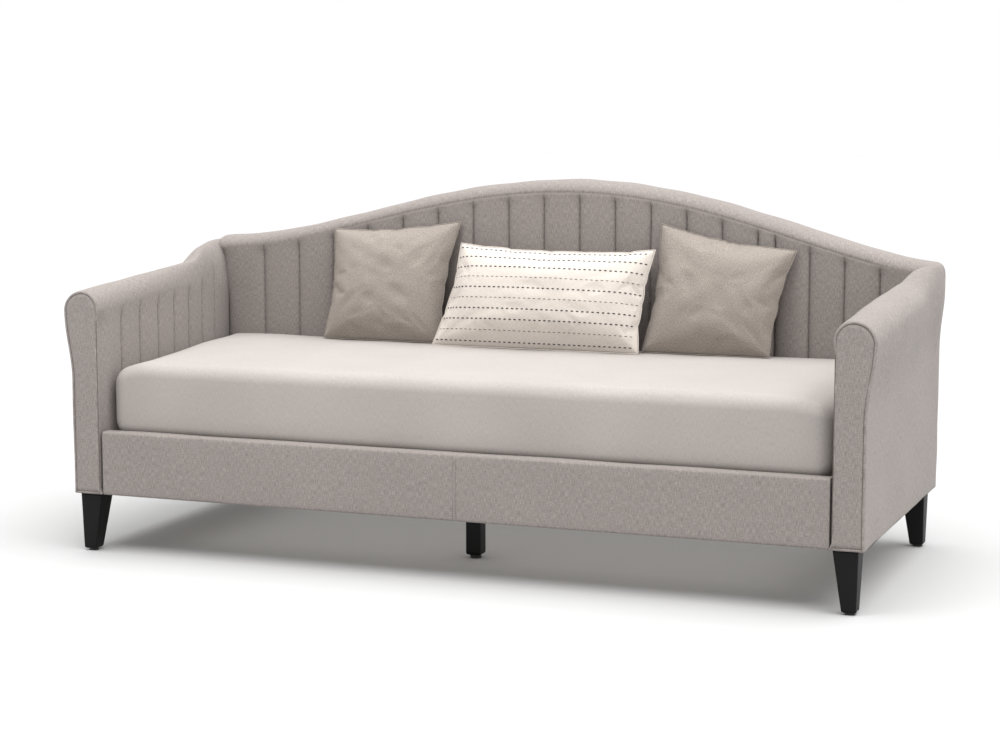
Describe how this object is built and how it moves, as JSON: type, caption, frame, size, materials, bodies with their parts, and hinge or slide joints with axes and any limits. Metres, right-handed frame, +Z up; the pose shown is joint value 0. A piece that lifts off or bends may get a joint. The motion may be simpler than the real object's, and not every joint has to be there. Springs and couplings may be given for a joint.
{
  "type": "upholstered daybed",
  "caption": "Upholstered single daybed with a camel-shaped channelled back, scrolled arms, slatted base, tapered legs, loose mattress and scatter pillows.",
  "frame": {"origin": "on the floor under the middle of the whole daybed", "axes": "+X along the length to the right-hand arm as seen from the front, the open front faces -Y, +Z up"},
  "size_m": [2.2252, 0.96, 0.996],
  "materials": {
    "upholstery": "heathered linen-look weave",
    "welt": "same cloth as the upholstery, piped",
    "foam": "cut polyurethane foam",
    "pine": "planed pine",
    "plywood": "birch plywood",
    "hardboard": "smooth hardboard",
    "birch_slat": "planed birch",
    "webbing": "woven polypropylene tape",
    "dust_cloth": "non-woven cloth",
    "black_lacquer": "black satin lacquer on beech",
    "black_plastic": "moulded glide",
    "zinc_steel": "zinc plated",
    "painted_steel": "black powder coat",
    "mattress_cloth": "light beige plain cloth",
    "mattress_foam": "cut polyurethane foam",
    "taupe_weave": "coarse taupe weave",
    "stripe_weave": "off-white cloth with rows of black running stitch",
    "pillow_fill": "polyester fill in a plain case"
  },
  "bodies": {
    "frame": {"back_inner_cover": "upholstery", "back_border": "upholstery", "back_outer_cover": "upholstery", "front_rail_cover": "upholstery", "left_arm_cover": "upholstery", "right_arm_cover": "upholstery", "left_arm_facing": "upholstery", "right_arm_facing": "upholstery", "left_facing_welt": "welt", "right_facing_welt": "welt", "back_foam": "foam", "front_rail_padding": "foam", "left_arm_pad": "foam", "right_arm_pad": "foam", "left_arm_roll": "foam", "right_arm_roll": "foam", "back_posts": "pine", "back_seat_rails": "pine", "front_ledge": "pine", "rear_ledge": "pine", "centre_beam": "pine", "left_arm_posts": "pine", "right_arm_posts": "pine", "left_arm_rails": "pine", "right_arm_rails": "pine", "back_top_rail": "plywood", "front_rail_board": "plywood", "back_board": "hardboard", "left_arm_board": "hardboard", "right_arm_board": "hardboard", "slats": "birch_slat", "slat_straps": "webbing", "back_dust_cover": "dust_cloth", "left_arm_dust_cover": "dust_cloth", "right_arm_dust_cover": "dust_cloth", "centre_leg": "black_lacquer", "front_left_leg": "black_lacquer", "front_right_leg": "black_lacquer", "rear_left_leg": "black_lacquer", "rear_right_leg": "black_lacquer", "leg_glides": "black_plastic", "slat_screws": "zinc_steel", "leg_bolts": "zinc_steel", "leg_nuts": "zinc_steel", "bracket_bolts": "zinc_steel", "back_bolts": "zinc_steel", "foot_insert": "zinc_steel", "beam_brackets": "painted_steel", "rail_brackets": "painted_steel"},
    "mattress": {"mattress_cover": "mattress_cloth", "mattress_core": "mattress_foam"},
    "left_pillow": {"left_pillow_cover": "taupe_weave", "left_pillow_insert": "pillow_fill"},
    "middle_pillow": {"middle_pillow_cover": "stripe_weave", "middle_pillow_insert": "pillow_fill"},
    "right_pillow": {"right_pillow_cover": "taupe_weave", "right_pillow_insert": "pillow_fill"},
    "foot": {"foot_pad": "black_plastic", "foot_stem": "zinc_steel"}
  },
  "joints": [
    {"name": "mattress_lift", "type": "slide", "parent": "frame", "child": "mattress", "axis": [0, 0, 1], "range_m": [0, 0.7]},
    {"name": "left_pillow_lift", "type": "slide", "parent": "mattress", "child": "left_pillow", "axis": [0, 0, 1], "range_m": [0, 0.5]},
    {"name": "middle_pillow_lift", "type": "slide", "parent": "mattress", "child": "middle_pillow", "axis": [0, 0, 1], "range_m": [0, 0.5]},
    {"name": "right_pillow_lift", "type": "slide", "parent": "mattress", "child": "right_pillow", "axis": [0, 0, 1], "range_m": [0, 0.5]},
    {"name": "foot_level", "type": "slide", "parent": "frame", "child": "foot", "axis": [0, 0, -1], "range_m": [0, 0.012]}
  ]
}
